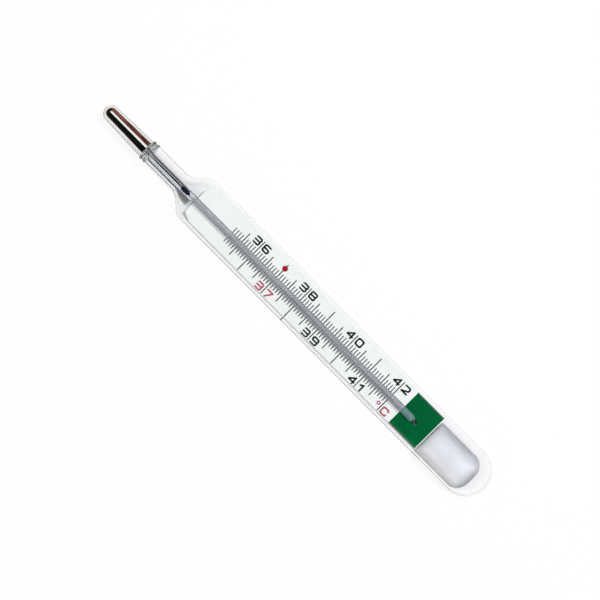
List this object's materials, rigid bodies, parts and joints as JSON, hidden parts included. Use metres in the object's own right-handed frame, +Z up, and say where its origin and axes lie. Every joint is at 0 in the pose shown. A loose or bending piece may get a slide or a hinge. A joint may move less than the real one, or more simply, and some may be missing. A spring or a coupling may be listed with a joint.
{
  "type": "clinical thermometer",
  "caption": "Flat enclosed-scale glass clinical thermometer: silver bulb, drawn neck, white Celsius scale with a green end in a clear sheath, and a liquid-metal column that rises along it.",
  "frame": {"origin": "below the middle of the thermometer, on the surface that its flat back lies on", "axes": "+X along the axis from bulb to dome, +Y towards the tops of the numerals, +Z up out of the face of the scale"},
  "size_m": [0.124, 0.012, 0.008],
  "materials": {
    "clear_glass": "clear, fire polished",
    "fused_glass": "clear with fused lines",
    "capillary_glass": "clear, greyed by its bore",
    "liquid_metal": "mirror bright liquid metal",
    "white_plate": "opaque white, semi gloss",
    "green_paint": "satin paint",
    "black_ink": "printed ink",
    "red_ink": "printed ink",
    "white_plug": "soft white plastic"
  },
  "bodies": {
    "instrument": {"glass_sheath": "clear_glass", "bulb_glass": "clear_glass", "seal_ring": "fused_glass", "bulb_filling": "liquid_metal", "constriction_pin": "clear_glass", "capillary_tube": "capillary_glass", "feed_thread": "liquid_metal", "column_thread": "liquid_metal", "scale_plate": "white_plate", "green_band": "green_paint", "tenth_degree_lines": "black_ink", "half_degree_lines": "black_ink", "degree_lines": "black_ink", "black_numerals": "black_ink", "red_numerals": "red_ink", "normal_dot": "red_ink", "position_mark": "black_ink", "end_plug": "white_plug"},
    "column_top": {"column_tip": "liquid_metal"}
  },
  "joints": [
    {"name": "column_rise", "type": "slide", "parent": "instrument", "child": "column_top", "axis": [1, 0, 0], "range_m": [0, 0.0657], "deforming": ["column_thread"]}
  ]
}
